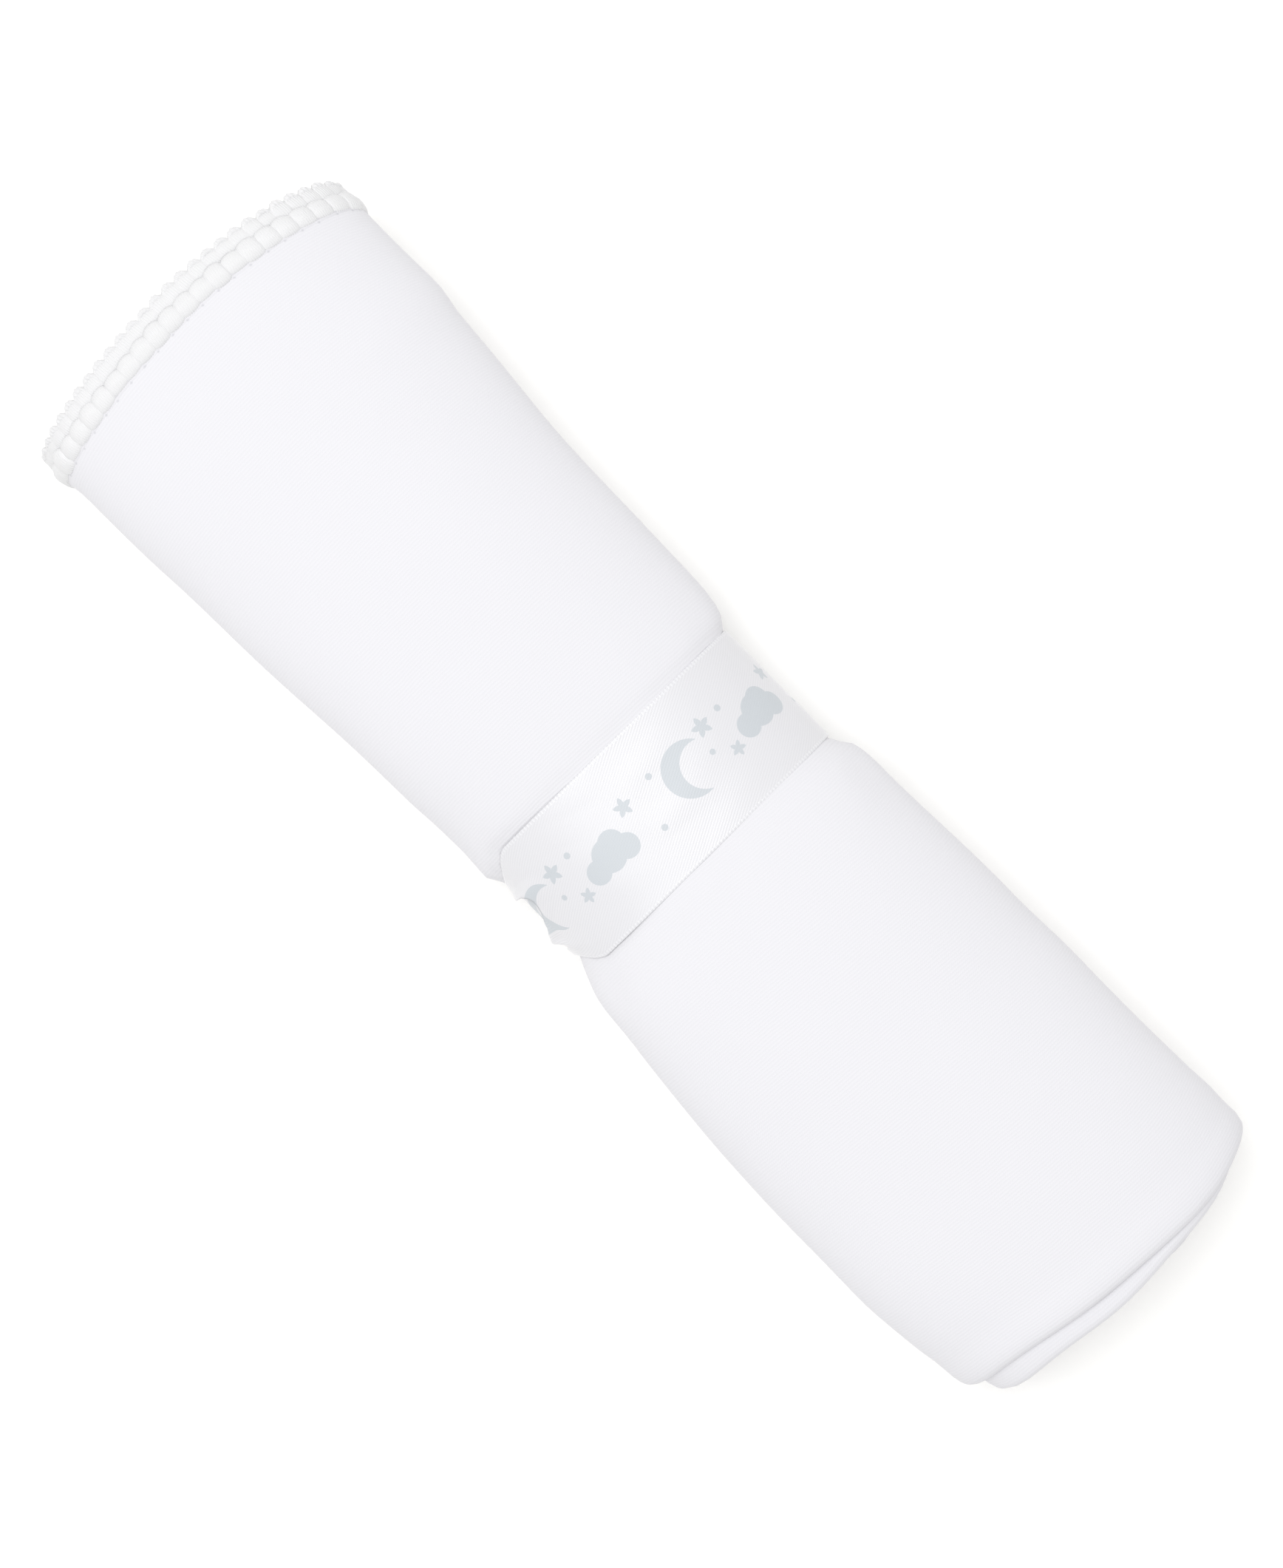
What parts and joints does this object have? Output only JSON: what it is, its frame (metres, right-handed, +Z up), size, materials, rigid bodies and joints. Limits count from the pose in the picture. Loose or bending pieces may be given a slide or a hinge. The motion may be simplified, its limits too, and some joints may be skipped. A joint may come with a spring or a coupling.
{
  "type": "rolled baby wrap blanket",
  "caption": "Rolled white cotton knit baby wrap blanket with scalloped thread edging, folded double, rolled flat and held at the waist by a satin ribbon band that slides off.",
  "frame": {"origin": "centre of the underside of the roll's bounding box, on the surface it lies on", "axes": "+X along the roll from the hem end to the fold end, +Z up; the ribbon's lapped ends are low on the -Y side"},
  "size_m": [0.3496, 0.1064, 0.0499],
  "materials": {
    "cotton_knit": "matte interlock knit with fine ribs running round the roll",
    "edging_thread": "wound thread in scallops with a slight sheen",
    "satin_ribbon": "satin weave with a soft sheen and a pale grey-blue nursery print",
    "glue_dot": "soft translucent adhesive"
  },
  "bodies": {
    "blanket": {"blanket_cloth": "cotton_knit", "hem_edging_outer_leaf": "edging_thread", "hem_edging_inner_leaf": "edging_thread", "end_edging_outer": "edging_thread", "end_edging_core": "edging_thread"},
    "ribbon": {"ribbon_band": "satin_ribbon", "ribbon_glue_dot": "glue_dot"}
  },
  "joints": [
    {"name": "ribbon_slide", "type": "slide", "parent": "blanket", "child": "ribbon", "axis": [1, 0, 0], "range_m": [-0.205, 0.195], "deforming": ["blanket_cloth", "hem_edging_outer_leaf", "hem_edging_inner_leaf", "end_edging_outer"]}
  ]
}
